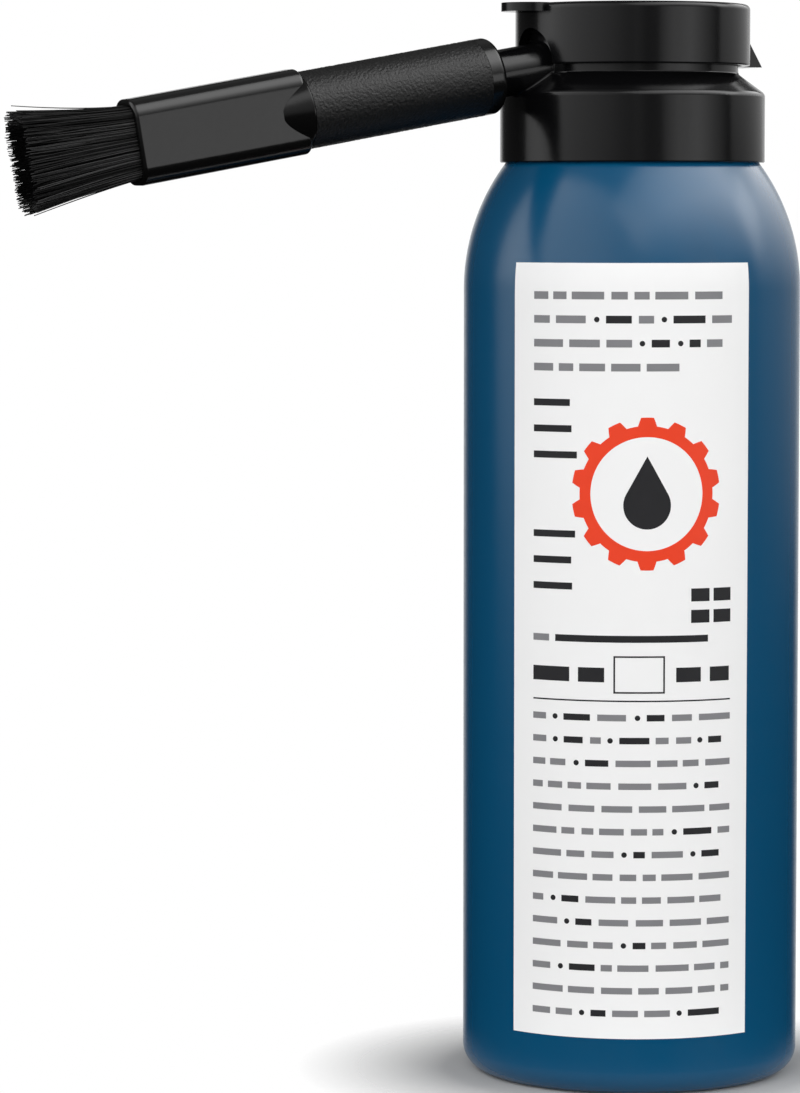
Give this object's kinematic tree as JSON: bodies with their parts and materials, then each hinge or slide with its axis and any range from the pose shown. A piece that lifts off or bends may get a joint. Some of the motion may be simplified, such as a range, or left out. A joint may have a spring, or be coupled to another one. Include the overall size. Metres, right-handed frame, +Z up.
{
  "type": "chain lube bottle",
  "caption": "Pressurised chain lube bottle: round-shouldered can with a press-down cap, a sloping spout and a flat brush fed through its hollow handle.",
  "frame": {"origin": "on the can's axis, in the plane of the ring that the can stands on", "axes": "+Z up along the can's axis, -X the way the spout and brush point, +Y to complete a right-handed frame"},
  "size_m": [0.1116, 0.0451, 0.1431],
  "materials": {
    "can_paint": "satin blue paint on aluminium",
    "label_film": "white satin film",
    "tinplate": "bright tinplate",
    "seal_rubber": "black seal rubber",
    "valve_plastic": "natural white plastic",
    "spring_steel": "drawn spring wire",
    "tube_plastic": "translucent tube, shown opaque",
    "head_plastic": "glossy black moulding",
    "brush_plastic": "glossy black moulding",
    "grip_grain": "black with a fine leather grain",
    "bristle": "black synthetic bristle"
  },
  "bodies": {
    "bottle": {"can_body": "can_paint", "label": "label_film", "valve_cup": "tinplate", "cup_gasket": "seal_rubber", "valve_housing": "valve_plastic", "stem_gasket": "seal_rubber", "valve_spring": "spring_steel", "dip_tube": "tube_plastic", "collar": "head_plastic", "brush_handle": "brush_plastic", "brush_grip": "grip_grain", "brush_ferrule": "brush_plastic", "bristle_tuft": "bristle"},
    "press": {"push_cap": "head_plastic", "plunger": "valve_plastic", "plunger_seal_upper": "seal_rubber", "plunger_seal_lower": "seal_rubber", "valve_stem": "valve_plastic"}
  },
  "joints": [
    {"name": "cap_press", "type": "slide", "parent": "bottle", "child": "press", "axis": [0, 0, -1], "range_m": [0, 0.001], "stiffness_N_per_m": 2000, "springref_m": -0.0075, "deforming": ["valve_spring"]}
  ]
}
